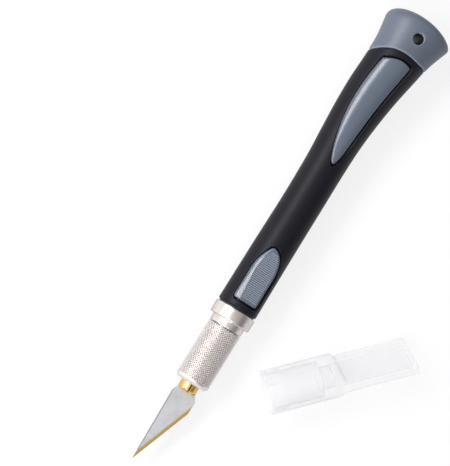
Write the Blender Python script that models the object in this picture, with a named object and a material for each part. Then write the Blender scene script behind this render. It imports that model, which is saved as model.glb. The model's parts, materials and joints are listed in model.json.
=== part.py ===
# Hobby craft knife lying on its flank, with its clear safety cap beside it.
# Metres, +Z up. In the knife's own frame X runs along the chuck's axis, from the grip's front end to the
# rear, +Y is the spine side, -Y the belly side with the cutting edge, and Z crosses the flat of the blade.
import math

import bmesh
import bpy
import numpy as np
from mathutils import Matrix, Vector

# Fits
FIT_GAP = 0.00015
FACE_GAP = 0.00005
WINDOW_GAP = 0.0005
JOINT_GAP = 0.00025
RUNNING_GAP = 0.0002

# Blade
BLADE_LENGTH = 0.040
BLADE_THICKNESS = 0.0005
BLADE_SHOWS = 0.0265
EDGE_RUN = 0.0207
EDGE_THICKNESS = 0.00008
BEVEL_WIDTH = 0.00085
BODY_RUN = 0.0250
SHOULDER_RUN = 0.0021
TIP_HEIGHT = 0.0033
SPINE_HEIGHT = 0.0039
BELLY_DEPTH = 0.0044
TANG_WIDTH = 0.0060
TANG_CORNER = 0.0008
TANG_SLOT_WIDTH = 0.0020
TANG_SLOT_LENGTH = 0.0052
TANG_SLOT_FROM_END = 0.0044

# Collet
COLLET_NOSE_RADIUS = 0.0031
COLLET_NOSE_OUT = 0.0028
COLLET_NOSE_TAPER = 0.0006
COLLET_NOSE_LENGTH = 0.0048
COLLET_BODY_RADIUS = 0.0038
COLLET_FRONT_CONE = 0.0045
COLLET_BODY_LENGTH = 0.0026
COLLET_REAR_CONE = 0.0034
COLLET_CONE_SHOWS = 0.0023
COLLET_SHANK_RADIUS = 0.0024
COLLET_RING_LENGTH = 0.0048
COLLET_SLIT = 0.00045
COLLET_SLIT_PAST_TANG = 0.0030
BLADE_SLIT_GAP = 0.00012

# Chuck sleeve
SLEEVE_RADIUS = 0.00565
SLEEVE_LENGTH = 0.02015
SLEEVE_CHAMFER = 0.0009
SLEEVE_LIP = 0.0016
SLEEVE_REAR_CHAMFER = 0.0002

# Collar
THREAD_RADIUS = 0.0040
NECK_RADIUS = 0.00555
NECK_LENGTH = 0.0024
FLANGE_RADIUS = 0.0069
FLANGE_LENGTH = 0.0041
FLANGE_CHAMFER = 0.00035
COLLAR_BORE_PAST_COLLET = 0.0010
SHANK_RADIUS = 0.0030
SHANK_LENGTH = 0.0120
WASHER_THICKNESS = 0.0005
WASHER_RADIUS = 0.0062

# Core and its insert
INSERT_WALL = 0.0011
INSERT_LENGTH = 0.0110
INSERT_SETBACK = 0.0004
TENON_HALF_HEIGHT = 0.0052
TENON_HALF_WIDTH = 0.0044
TENON_LENGTH = 0.0058

# Grip and end cap
GRIP_LENGTH = 0.0917
GRIP_WALL = 0.0016
GRIP_EDGE_ROUND = 0.0005
FLANK_RISE = 0.0034
BELLY_RISE = 0.0031
END_CAP_LENGTH = 0.0125
END_CAP_STEP = 0.0001
DOME_HEIGHT = 0.0046
DOME_SQUARENESS = 2.2
DOME_FLANK_FULLNESS = 6
DOME_SKEW = 0.0010
HANG_HOLE_RADIUS = 0.0017
HANG_HOLE_RIM = 0.0007
HANG_HOLE_FROM_END = 0.0076

# Stations of the handle from its front end (0) to the rear corner (1): share, spine, belly, half thickness
HANDLE_STATIONS = (
    (0.000, 0.00673, 0.00671, 0.00672),
    (0.168, 0.00664, 0.00656, 0.00660),
    (0.415, 0.00644, 0.00650, 0.00647),
    (0.523, 0.00673, 0.00648, 0.00658),
    (0.603, 0.00729, 0.00670, 0.00680),
    (0.702, 0.00786, 0.00760, 0.00720),
    (0.780, 0.00798, 0.00871, 0.00760),
    (0.859, 0.00767, 0.01024, 0.00805),
    (0.928, 0.00768, 0.01168, 0.00850),
    (1.000, 0.00868, 0.01420, 0.00905),
)

# Finger pad
PAD_START = 0.0026
PAD_STRAIGHT = 0.0106
PAD_ARCH = 0.0089
PAD_ARCH_FULLNESS = 0.72
PAD_HALF_WIDTH = 0.00405
PAD_PANEL_HALF_WIDTH = 0.0030
PAD_RAISE = 0.0001

# Side inlay
INLAY_LENGTH = 0.0378
INLAY_FROM_CAP = 0.0001
INLAY_HALF_WIDTH = 0.0046
INLAY_TIP_OFFSET = -0.0005
INLAY_REAR_OFFSET = -0.0010
INLAY_BOW = 0.0016
INLAY_ARCH = 0.0009
INLAY_SKEW = -0.0007
INLAY_RAISE = 0.0002

# Rounded rim of the pads and inlays
RIM_WIDTH = 0.0007
RIM_DROP = 0.0005

# Safety cap
CAP_WALL = 0.00135
CAP_TUBE_LENGTH = 0.0222
CAP_SHOULDER_RUN = 0.0032
CAP_BORE_DEPTH = 0.0176
CAP_MOUTH_DEPTH = 0.0055
CAP_MOUTH_STEP = 0.0005
CAP_RIB_LEAD = 0.0008
CAP_RIB_COUNT = 8
CAP_COLLET_GAP = 0.0006
CAP_SLOT_SIDE_GAP = 0.0008
CAP_SLOT_HALF_GAP = 0.0007
CAP_TIP_GAP = 0.0004
CAP_END_WALL = 0.0012
CAP_FLAT_HALF_WIDTH = 0.00775
CAP_FLAT_WALL = 0.0010
CAP_FLAT_SQUARENESS = 9
CAP_SLOT_SQUARENESS = 6
CAP_MOUTH_AT = (-0.0176, -0.0220)
CAP_TURN = math.radians(-44.6)

# Facets round each kind of piece
HANDLE_SIDES = 40
TURNED_SIDES = 40
CAP_SIDES = 48
HOLE_SIDES = 24

# Places along the chuck's axis, worked forward from the grip's front end
FLANGE_REAR = -(WASHER_THICKNESS + 2 * FACE_GAP)
FLANGE_FRONT = FLANGE_REAR - FLANGE_LENGTH
NECK_FRONT = FLANGE_FRONT - NECK_LENGTH
SLEEVE_REAR = NECK_FRONT - JOINT_GAP
SLEEVE_FRONT = SLEEVE_REAR - SLEEVE_LENGTH
COLLET_FRONT = SLEEVE_FRONT - COLLET_NOSE_OUT
COLLET_BODY_FRONT = COLLET_FRONT + COLLET_NOSE_LENGTH + COLLET_FRONT_CONE
COLLET_BODY_REAR = COLLET_BODY_FRONT + COLLET_BODY_LENGTH
NOSE_FRONT = COLLET_BODY_REAR + COLLET_CONE_SHOWS
BLADE_TIP = COLLET_FRONT - BLADE_SHOWS
BLADE_REAR = BLADE_TIP + BLADE_LENGTH
COLLET_SLIT_REAR = BLADE_REAR + COLLET_SLIT_PAST_TANG
COLLET_REAR = COLLET_SLIT_REAR + COLLET_RING_LENGTH
HANDLE_CORNER = GRIP_LENGTH + END_CAP_LENGTH
HANDLE_END = HANDLE_CORNER + DOME_HEIGHT
INLAY_START = GRIP_LENGTH - INLAY_FROM_CAP - INLAY_LENGTH


def clear_scene():
    for scene_object in list(bpy.data.objects):
        bpy.data.objects.remove(scene_object, do_unlink=True)


def make_material(name, colour, roughness, metallic=0.0, transmission=0.0):
    material = bpy.data.materials.new(name)
    material.use_nodes = True
    shader = material.node_tree.nodes["Principled BSDF"]
    shader.inputs["Base Color"].default_value = (*colour, 1.0)
    shader.inputs["Roughness"].default_value = roughness
    shader.inputs["Metallic"].default_value = metallic
    shader.inputs["Transmission Weight"].default_value = transmission
    return material


def make_empty(name, parent=None):
    empty = bpy.data.objects.new(name, None)
    empty.parent = parent
    bpy.context.collection.objects.link(empty)
    return empty


def make_object(name, mesh_data, parent, material=None):
    bmesh.ops.recalc_face_normals(mesh_data, faces=mesh_data.faces)
    mesh = bpy.data.meshes.new(name)
    mesh_data.to_mesh(mesh)
    mesh_data.free()
    mesh.shade_smooth()
    mesh.set_sharp_from_angle(angle=math.radians(35))
    if material:
        mesh.materials.append(material)
    piece = bpy.data.objects.new(name, mesh)
    piece.parent = parent
    bpy.context.collection.objects.link(piece)
    return piece


def loft(rings, closed=False):
    """Skin a row of rings; the ends are capped, or joined to each other on a closed shell."""
    skin = bmesh.new()
    rows = [[skin.verts.new(point) for point in ring] for ring in rings]
    pairs = list(zip(rows, rows[1:] + rows[:1])) if closed else list(zip(rows, rows[1:]))
    for near, far in pairs:
        for i in range(len(near)):
            j = (i + 1) % len(near)
            skin.faces.new((near[i], near[j], far[j], far[i]))
    if not closed:
        skin.faces.new(rows[0])
        skin.faces.new(rows[-1])
    return skin


def circle(x, radius, sides=TURNED_SIDES):
    angles = np.arange(sides) * math.tau / sides
    return [(x, radius * math.cos(a), radius * math.sin(a)) for a in angles]


def turned(profile, closed=False):
    """A piece turned about the chuck's axis from (x, radius) points."""
    return loft([circle(x, radius) for x, radius in profile], closed)


def cut(piece, cutter):
    cutter.hide_render = True
    cutter.display_type = "WIRE"
    boolean = piece.modifiers.new(cutter.name, "BOOLEAN")
    boolean.operation = "DIFFERENCE"
    boolean.solver = "EXACT"
    boolean.object = cutter


def make_box(name, low, high, parent):
    box = bmesh.new()
    size = Vector(high) - Vector(low)
    centre = (Vector(high) + Vector(low)) / 2
    bmesh.ops.create_cube(box, size=1.0, matrix=Matrix.Translation(centre) @ Matrix.Diagonal((*size, 1.0)))
    return make_object(name, box, parent)


# Handle surface

STATION_TABLE = np.array(HANDLE_STATIONS)
STATION_SLOPES = np.gradient(STATION_TABLE[:, 1:], STATION_TABLE[:, 0], axis=0)


def section(x):
    """Centre height, half height and half thickness of the handle at x."""
    share = min(max(x / HANDLE_CORNER, 0.0), 1.0)
    i = min(int(np.searchsorted(STATION_TABLE[:, 0], share, side="right")) - 1, len(STATION_TABLE) - 2)
    step = STATION_TABLE[i + 1, 0] - STATION_TABLE[i, 0]
    t = (share - STATION_TABLE[i, 0]) / step
    start, end = STATION_TABLE[i, 1:], STATION_TABLE[i + 1, 1:]
    rise, fall = STATION_SLOPES[i] * step, STATION_SLOPES[i + 1] * step
    ease = t * t * (3 - 2 * t)
    spine, belly, half_thickness = (
        start + (end - start) * ease + rise * t * (1 - t) ** 2 - fall * t * t * (1 - t)
    )
    return (spine - belly) / 2, (spine + belly) / 2, half_thickness


def handle_angles():
    return np.arange(HANDLE_SIDES) * math.tau / HANDLE_SIDES


def cap_line(angle):
    """Where the end cap's front edge runs: low on the spine, high on the flanks, between on the belly."""
    flank = math.sin(angle) ** 2
    belly = (1 - math.cos(angle)) / 2 * (1 - flank)
    return GRIP_LENGTH + FLANK_RISE * flank + BELLY_RISE * belly


def handle_ring(place, inset=0.0):
    """A ring of the handle's surface; place gives x at each angle."""
    ring = []
    for angle in handle_angles():
        x = place(angle)
        centre, half_height, half_thickness = section(x)
        y = centre + (half_height - inset) * math.cos(angle)
        z = (half_thickness - inset) * math.sin(angle)
        ring.append((x, y, z))
    return ring


def skin_rings(shares, inset, set_back=0.0):
    """Rings from the handle's front end to set_back short of the end cap's edge."""
    return [handle_ring(lambda a, s=s: s * (cap_line(a) - set_back), inset) for s in shares]


def surface_height(x, y, inset):
    """Half thickness of the handle's surface over the point (x, y)."""
    centre, half_height, half_thickness = section(x)
    across = min(abs(y - centre) / (half_height - inset), 0.98)
    return (half_thickness - inset) * math.sqrt(1 - across * across)


# Patches let into the flanks

def pad_point(u, v, margin):
    """The finger pad's outline: straight sides, then a pointed arch."""
    length = PAD_STRAIGHT + PAD_ARCH
    x = PAD_START - margin + u * (length + 2 * margin)
    arch = max(0.0, (x - PAD_START - PAD_STRAIGHT) / (PAD_ARCH + margin))
    half = (PAD_HALF_WIDTH + margin) * max(1 - arch * arch, 0.0) ** PAD_ARCH_FULLNESS
    return x, v * half


def inlay_point(u, v, margin):
    """The side inlay's outline: a horn, blunt at its tip and arched at its rear edge."""
    bend = INLAY_TIP_OFFSET + (INLAY_REAR_OFFSET - INLAY_TIP_OFFSET) * u + INLAY_BOW * math.sin(math.pi * u)
    half = (INLAY_HALF_WIDTH + margin) * math.sqrt(math.sin(math.pi / 2 * u))
    x = INLAY_START - margin + u * (INLAY_LENGTH + 2 * margin)
    x += (INLAY_ARCH * (1 - v * v) + INLAY_SKEW * v) * u ** 3
    return x, bend + v * half


def patch_shares(count):
    """Shares along a patch, closer together at its ends, and clear of the very tip."""
    return [0.5 - 0.5 * math.cos(math.pi * (0.04 + 0.93 * i / count)) for i in range(count + 1)]


def patch_solid(points, shares, lanes, top, bottom):
    """A closed block over a patch of the flank, from bottom to top along Z."""
    block = bmesh.new()
    rows_above, rows_below = [], []
    for i, u in enumerate(shares):
        above, below = [], []
        for j, v in enumerate(lanes):
            x, y = points(u, v)
            rim = i in (0, len(shares) - 1) or j in (0, len(lanes) - 1)
            above.append(block.verts.new((x, y, top(x, y, rim))))
            below.append(block.verts.new((x, y, bottom(x, y))))
        rows_above.append(above)
        rows_below.append(below)
    for rows in (rows_above, rows_below):
        for near, far in zip(rows, rows[1:]):
            for j in range(len(near) - 1):
                block.faces.new((near[j], near[j + 1], far[j + 1], far[j]))
    for edge_above, edge_below in (
        (rows_above[0], rows_below[0]),
        (rows_above[-1], rows_below[-1]),
        ([row[0] for row in rows_above], [row[0] for row in rows_below]),
        ([row[-1] for row in rows_above], [row[-1] for row in rows_below]),
    ):
        for j in range(len(edge_above) - 1):
            block.faces.new((edge_above[j], edge_above[j + 1], edge_below[j + 1], edge_below[j]))
    return block


def flip(block):
    """The same block on the other flank."""
    bmesh.ops.transform(block, matrix=Matrix.Diagonal((1, 1, -1, 1)), verts=block.verts)
    return block


def rimmed(shares_or_lanes, width, span):
    """The same row of values with one more, a rim's width inside each end."""
    low, high = shares_or_lanes[0], shares_or_lanes[-1]
    inside = [v for v in shares_or_lanes if low + width / span * 1.3 < v < high - width / span * 1.3]
    return [low, low + width / span, *inside, high - width / span, high]


def pad_height(x, y):
    """The finger pad follows the handle along its sides and is flat between them."""
    return surface_height(x, max(abs(y), PAD_PANEL_HALF_WIDTH), 0.0) + PAD_RAISE


def inlay_height(x, y):
    return surface_height(x, y, 0.0) + INLAY_RAISE


def make_insert(name, outline, height, length, half_width, parent, material, lower):
    """A grey piece bonded on the core, in a window of the grip."""
    shares = rimmed(patch_shares(14), RIM_WIDTH, length)
    lanes = rimmed([-1, -0.6, -0.2, 0.2, 0.6, 1], RIM_WIDTH, half_width)

    def top(x, y, rim):
        return height(x, y) - (RIM_DROP if rim else 0.0)

    def bottom(x, y):
        return surface_height(x, y, GRIP_WALL + FIT_GAP) + FIT_GAP

    block = patch_solid(lambda u, v: outline(u, v, 0.0), shares, lanes, top, bottom)
    return make_object(name, flip(block) if lower else block, parent, material)


def make_window(name, outline, parent, lower):
    """The cutter for one window of the grip, a gap wider all round than the piece in it."""
    shares = [0.0005, *patch_shares(16), 0.9995]
    reach = 2 * max(row[3] for row in HANDLE_STATIONS)
    block = patch_solid(
        lambda u, v: outline(u, v, WINDOW_GAP),
        shares,
        np.linspace(-1, 1, 9),
        lambda x, y, rim: reach,
        lambda x, y: GRIP_WALL / 2,
    )
    return make_object(name, flip(block) if lower else block, parent)


# Pieces

def make_blade(parent, material):
    """Ground steel blade: flat body, bevel along the cutting edge, tang with a slot."""
    half = BLADE_THICKNESS / 2
    edge_half = EDGE_THICKNESS / 2
    spine_end = Vector((BODY_RUN, SPINE_HEIGHT))
    tip = Vector((0.0, TIP_HEIGHT))
    heel = Vector((EDGE_RUN, -BELLY_DEPTH))
    edge_slope = (tip.y - heel.y) / EDGE_RUN
    spine_slope = (spine_end.y - tip.y) / BODY_RUN
    rise = BEVEL_WIDTH * math.hypot(1.0, edge_slope)
    bevel_tip = Vector((rise / (edge_slope + spine_slope), 0.0))
    bevel_tip.y = tip.y + spine_slope * bevel_tip.x
    bevel_heel = Vector((EDGE_RUN + rise / edge_slope, -BELLY_DEPTH))
    tang = BODY_RUN + SHOULDER_RUN
    half_tang = TANG_WIDTH / 2
    flat = [
        bevel_tip,
        spine_end,
        Vector((tang, half_tang)),
        Vector((BLADE_LENGTH - TANG_CORNER, half_tang)),
        Vector((BLADE_LENGTH, half_tang - TANG_CORNER)),
        Vector((BLADE_LENGTH, -half_tang + TANG_CORNER)),
        Vector((BLADE_LENGTH - TANG_CORNER, -half_tang)),
        Vector((tang, -half_tang)),
        Vector((BODY_RUN, -BELLY_DEPTH)),
        bevel_heel,
    ]
    plate = bmesh.new()

    def both_faces(point, z):
        return [plate.verts.new((BLADE_TIP + point.x, point.y, side * z)) for side in (1, -1)]

    rim = [both_faces(point, half) for point in flat]
    edge = [both_faces(point, edge_half) for point in (heel, tip)]
    for side in (0, 1):
        plate.faces.new([pair[side] for pair in rim])
        plate.faces.new([rim[-1][side], edge[0][side], edge[1][side], rim[0][side]])
    outline = rim + edge
    for near, far in zip(outline, outline[1:] + outline[:1]):
        plate.faces.new((near[0], far[0], far[1], near[1]))
    blade = make_object("blade", plate, parent, material)
    slot_rear = BLADE_REAR - TANG_SLOT_FROM_END
    slot_front = slot_rear - TANG_SLOT_LENGTH
    radius = TANG_SLOT_WIDTH / 2
    ends = []
    for i in range(HOLE_SIDES):
        angle = math.tau * (i + 0.5) / HOLE_SIDES - math.pi / 2
        middle = slot_rear - radius if math.cos(angle) > 0 else slot_front + radius
        ends.append((middle + radius * math.cos(angle), radius * math.sin(angle)))
    slot = loft([[(x, y, z) for x, y in ends] for z in (-BLADE_THICKNESS, BLADE_THICKNESS)])
    cut(blade, make_object("tang_slot_cutter", slot, parent))
    return blade


def collet_profile():
    return [
        (COLLET_FRONT, COLLET_NOSE_RADIUS - COLLET_NOSE_TAPER),
        (COLLET_FRONT + COLLET_NOSE_TAPER, COLLET_NOSE_RADIUS),
        (COLLET_FRONT + COLLET_NOSE_LENGTH, COLLET_NOSE_RADIUS),
        (COLLET_BODY_FRONT, COLLET_BODY_RADIUS),
        (COLLET_BODY_REAR, COLLET_BODY_RADIUS),
        (COLLET_BODY_REAR + COLLET_REAR_CONE, COLLET_SHANK_RADIUS),
        (COLLET_REAR, COLLET_SHANK_RADIUS),
    ]


def make_collet(parent, material):
    """Brass double cone, slit both ways into four jaws; the blade lies in the level slit."""
    profile = collet_profile()
    collet = make_object("collet", turned(profile), parent, material)
    reach = 2 * COLLET_BODY_RADIUS
    slit_front = COLLET_FRONT - COLLET_NOSE_OUT
    level = BLADE_THICKNESS / 2 + BLADE_SLIT_GAP
    upright = COLLET_SLIT / 2
    low, high = (slit_front, -reach, -level), (COLLET_SLIT_REAR, reach, level)
    cut(collet, make_box("blade_slit_cutter", low, high, parent))
    low, high = (slit_front, -upright, -reach), (COLLET_SLIT_REAR, upright, reach)
    cut(collet, make_box("jaw_slit_cutter", low, high, parent))
    return collet


def make_chuck_sleeve(parent, material):
    """Knurled aluminium nut: threaded on the collar's nose, coned inside to push the collet back."""
    nose, body = collet_profile()[2:4]
    mouth = COLLET_NOSE_RADIUS + RUNNING_GAP
    bore = max(THREAD_RADIUS, COLLET_BODY_RADIUS) + RUNNING_GAP
    cone_front = min(nose[0], SLEEVE_FRONT + SLEEVE_LIP)
    profile = [
        (SLEEVE_FRONT, mouth),
        (SLEEVE_FRONT, SLEEVE_RADIUS - SLEEVE_CHAMFER),
        (SLEEVE_FRONT + SLEEVE_CHAMFER, SLEEVE_RADIUS),
        (SLEEVE_REAR - SLEEVE_REAR_CHAMFER, SLEEVE_RADIUS),
        (SLEEVE_REAR, SLEEVE_RADIUS - SLEEVE_REAR_CHAMFER),
        (SLEEVE_REAR, bore),
        (body[0], bore),
        (cone_front, mouth),
    ]
    return make_object("chuck_sleeve", turned(profile, closed=True), parent, material)


def make_collar(parent, material):
    """Turned aluminium: threaded nose with the collet's seat, neck, flange and threaded shank."""
    cone, shank, end = collet_profile()[4:]
    slope = (cone[1] - shank[1]) / (shank[0] - cone[0])
    bore = COLLET_SHANK_RADIUS + RUNNING_GAP
    seat = bore + slope * (shank[0] - NOSE_FRONT)
    bore_end = end[0] + COLLAR_BORE_PAST_COLLET
    profile = [
        (bore_end, bore),
        (shank[0], bore),
        (NOSE_FRONT, seat),
        (NOSE_FRONT, THREAD_RADIUS),
        (NECK_FRONT, THREAD_RADIUS),
        (NECK_FRONT, NECK_RADIUS),
        (FLANGE_FRONT, NECK_RADIUS),
        (FLANGE_FRONT, FLANGE_RADIUS - FLANGE_CHAMFER),
        (FLANGE_FRONT + FLANGE_CHAMFER, FLANGE_RADIUS),
        (FLANGE_REAR - FLANGE_CHAMFER, FLANGE_RADIUS),
        (FLANGE_REAR, FLANGE_RADIUS - FLANGE_CHAMFER),
        (FLANGE_REAR, SHANK_RADIUS),
        (FLANGE_REAR + SHANK_LENGTH, SHANK_RADIUS),
    ]
    return make_object("collar", turned(profile), parent, material)


def tube_profile(front, rear, inner, outer):
    return [(front, inner), (front, outer), (rear, outer), (rear, inner)]


def make_collar_washer(parent, material):
    front = FLANGE_REAR + FACE_GAP
    profile = tube_profile(front, front + WASHER_THICKNESS, SHANK_RADIUS + FIT_GAP, WASHER_RADIUS)
    return make_object("collar_washer", turned(profile, closed=True), parent, material)


def insert_outer():
    return SHANK_RADIUS + FIT_GAP + INSERT_WALL


def make_core_insert(parent, material):
    """Brass threaded bush, pressed in the core's front socket."""
    rear = INSERT_SETBACK + INSERT_LENGTH
    profile = tube_profile(INSERT_SETBACK, rear, SHANK_RADIUS + FIT_GAP, insert_outer())
    return make_object("core_insert", turned(profile, closed=True), parent, material)


def tenon_ring(place, grow=0.0):
    centre = section(GRIP_LENGTH)[0]
    ring = []
    for angle in handle_angles():
        y = centre + (TENON_HALF_HEIGHT + grow) * math.cos(angle)
        ring.append((place(angle), y, (TENON_HALF_WIDTH + grow) * math.sin(angle)))
    return ring


def tenon_end():
    return GRIP_LENGTH + TENON_LENGTH


def make_handle_core(parent, material):
    """Hard plastic spine: socket for the insert in front, tenon for the end cap at the rear."""
    socket = insert_outer() + FIT_GAP
    socket_end = max(INSERT_SETBACK + INSERT_LENGTH, FLANGE_REAR + SHANK_LENGTH) + FIT_GAP
    inset = GRIP_WALL + FIT_GAP
    shares = np.linspace(0.0, 1.0, 15)
    rings = [circle(socket_end, socket, HANDLE_SIDES), circle(0.0, socket, HANDLE_SIDES)]
    rings += skin_rings(shares, inset, FIT_GAP)
    rings.append(tenon_ring(lambda a: cap_line(a) - FIT_GAP))
    rings.append(tenon_ring(lambda a: tenon_end()))
    return make_object("handle_core", loft(rings), parent, material)


def make_grip_sleeve(parent, material):
    """Black soft moulding over the core, with a window for each pad and inlay."""
    shares = np.linspace(0.0, 1.0, 27)[1:-1]
    edge = GRIP_EDGE_ROUND
    outer = [handle_ring(lambda a: 0.0, edge)]
    outer.append(handle_ring(lambda a: edge))
    outer += [handle_ring(lambda a, s=s: edge + s * (cap_line(a) - 2 * edge)) for s in shares]
    outer.append(handle_ring(lambda a: cap_line(a) - edge))
    outer.append(handle_ring(cap_line, edge))
    inner = skin_rings(np.linspace(1.0, 0.0, 15), GRIP_WALL)
    grip = make_object("grip_sleeve", loft(outer + inner, closed=True), parent, material)
    for name, outline in (("pad", pad_point), ("inlay", inlay_point)):
        for side in ("upper", "lower"):
            cut(grip, make_window(f"{name}_{side}_window", outline, parent, side == "lower"))
    return grip


def dome_ring(share):
    """A ring of the domed end, shrunk to this share of the rear corner's height; its flanks shrink later."""
    rise = (1 - share**DOME_SQUARENESS) ** (1 / DOME_SQUARENESS)
    flank_share = math.sqrt(1 - rise**DOME_FLANK_FULLNESS)
    centre, half_height, half_thickness = section(HANDLE_CORNER)
    ring = []
    for angle in handle_angles():
        x = HANDLE_CORNER + DOME_HEIGHT * rise + DOME_SKEW * rise * share * math.cos(angle)
        y = centre + (half_height + END_CAP_STEP) * share * math.cos(angle)
        z = (half_thickness + END_CAP_STEP) * flank_share * math.sin(angle)
        ring.append((x, y, z))
    return ring


def end_cap_rings():
    front = lambda a: cap_line(a) + FIT_GAP
    rings = [tenon_ring(lambda a: tenon_end() + FIT_GAP, FIT_GAP), tenon_ring(front, FIT_GAP)]
    for share in (0.0, 0.2, 0.4, 0.6, 0.8, 0.94, 1.0):
        place = lambda a, s=share: front(a) + s * (HANDLE_CORNER - front(a))
        rings.append(handle_ring(place, -END_CAP_STEP))
    for share in (0.97, 0.9, 0.78, 0.6, 0.38, 0.14):
        rings.append(dome_ring(share))
    return rings


def make_end_cap(parent, material):
    """Grey flared end piece on the core's tenon, with a countersunk hole to hang it by."""
    cap = make_object("end_cap", loft(end_cap_rings()), parent, material)
    place = HANDLE_END - HANG_HOLE_FROM_END
    centre, _, half_thickness = section(place)
    reach = 2 * half_thickness
    rim_at = half_thickness - HANG_HOLE_RIM
    flare = HANG_HOLE_RADIUS + HANG_HOLE_RIM + END_CAP_STEP
    rings = []
    for z, radius in (
        (-reach, flare + reach - half_thickness),
        (-rim_at, HANG_HOLE_RADIUS),
        (rim_at, HANG_HOLE_RADIUS),
        (reach, flare + reach - half_thickness),
    ):
        angles = np.arange(HOLE_SIDES) * math.tau / HOLE_SIDES
        rings.append([(place + radius * math.cos(a), centre + radius * math.sin(a), z) for a in angles])
    cut(cap, make_object("hang_hole_cutter", loft(rings), parent))
    return cap


# Safety cap in its own frame: X runs from its mouth to its flat end

def cap_bore():
    return SLEEVE_RADIUS + RUNNING_GAP


def cap_radius():
    return cap_bore() + CAP_WALL


def cap_slot_half_height():
    return BLADE_THICKNESS / 2 + CAP_SLOT_HALF_GAP / 2


def cap_flat_half_height():
    return cap_slot_half_height() + CAP_FLAT_WALL


def cap_roll():
    """Turn about the cap's own axis that brings an edge of its flat down to the table."""
    reach = math.hypot(CAP_FLAT_HALF_WIDTH, cap_flat_half_height())
    corner = math.atan(cap_flat_half_height() / CAP_FLAT_HALF_WIDTH)
    return math.asin(min(cap_radius() / reach, 1.0)) - corner


def cap_ring(x, half_width, half_height, squareness=2.0):
    """A rounded ring: 2 is an ellipse, higher values come closer to a rectangle."""
    ring = []
    for i in range(CAP_SIDES):
        angle = math.tau * i / CAP_SIDES
        c, s = math.cos(angle), math.sin(angle)
        y = math.copysign(abs(c) ** (2 / squareness), c) * half_width
        z = math.copysign(abs(s) ** (2 / squareness), s) * half_height
        ring.append((x, y, z))
    return ring


def cap_rib_ring(x):
    """The counterbored mouth, drawn in to the bore's radius at each grip rib."""
    pitch = CAP_SIDES // CAP_RIB_COUNT
    ring = []
    for i in range(CAP_SIDES):
        radius = cap_bore() if i % pitch == pitch // 2 else cap_bore() + CAP_MOUTH_STEP
        angle = math.tau * i / CAP_SIDES
        ring.append((x, radius * math.cos(angle), radius * math.sin(angle)))
    return ring


def make_safety_cap(parent, material):
    """Clear moulded cover: round tube over the sleeve, flat sheath over the blade."""
    blade_reach = COLLET_NOSE_OUT + BLADE_SHOWS
    relief = COLLET_NOSE_RADIUS + CAP_COLLET_GAP
    relief_end = CAP_BORE_DEPTH + COLLET_NOSE_OUT + CAP_COLLET_GAP
    slot_end = CAP_BORE_DEPTH + blade_reach + CAP_TIP_GAP
    slot_half_width = max(SPINE_HEIGHT, BELLY_DEPTH) + CAP_SLOT_SIDE_GAP
    slot_half_height = cap_slot_half_height()
    flat_half_height = cap_flat_half_height()
    flat_start = CAP_TUBE_LENGTH + CAP_SHOULDER_RUN
    tube = cap_radius()
    lead = CAP_MOUTH_STEP / 2
    rings = [
        cap_ring(slot_end, slot_half_width, slot_half_height, CAP_SLOT_SQUARENESS),
        cap_ring(relief_end + lead, slot_half_width, slot_half_height, CAP_SLOT_SQUARENESS),
        cap_ring(relief_end, relief, relief),
        cap_ring(CAP_BORE_DEPTH + lead, relief, relief),
        cap_ring(CAP_BORE_DEPTH, cap_bore(), cap_bore()),
        cap_ring(CAP_MOUTH_DEPTH + lead, cap_bore(), cap_bore()),
        cap_rib_ring(CAP_MOUTH_DEPTH),
        cap_rib_ring(CAP_RIB_LEAD + lead),
        cap_ring(CAP_RIB_LEAD, cap_bore() + CAP_MOUTH_STEP, cap_bore() + CAP_MOUTH_STEP),
        cap_ring(0.0, cap_bore() + CAP_MOUTH_STEP, cap_bore() + CAP_MOUTH_STEP),
        cap_ring(0.0, tube - lead, tube - lead),
        cap_ring(lead, tube, tube),
    ]
    tube_end = cap_ring(CAP_TUBE_LENGTH, tube, tube)
    flat_end = cap_ring(flat_start, CAP_FLAT_HALF_WIDTH, flat_half_height, CAP_FLAT_SQUARENESS)
    for share in (0.0, 0.25, 0.5, 0.75, 1.0):
        ease = share * share * (3 - 2 * share)
        ring = []
        for on_tube, on_flat in zip(tube_end, flat_end):
            x, y, z = Vector(on_tube).lerp(Vector(on_flat), ease)
            ring.append((CAP_TUBE_LENGTH + share * CAP_SHOULDER_RUN, y, z))
        rings.append(ring)
    end = slot_end + CAP_END_WALL
    rings += [
        cap_ring(end - lead, CAP_FLAT_HALF_WIDTH, flat_half_height, CAP_FLAT_SQUARENESS),
        cap_ring(end, CAP_FLAT_HALF_WIDTH - lead, flat_half_height - lead, CAP_FLAT_SQUARENESS),
    ]
    return make_object("safety_cap", loft(rings), parent, material)


# Rest on the table

def rest_tilt():
    """Angle that brings the flange's front edge and the end cap's lowest point to one level."""
    heel_x, heel_z = FLANGE_FRONT + FLANGE_CHAMFER, -FLANGE_RADIUS
    rear = [point for ring in end_cap_rings()[2:] for point in ring]
    return math.atan(min((z - heel_z) / (x - heel_x) for x, y, z in rear))


def world_points(piece):
    bpy.context.view_layer.update()
    return [piece.matrix_world @ vertex.co for vertex in piece.data.vertices]


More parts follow.
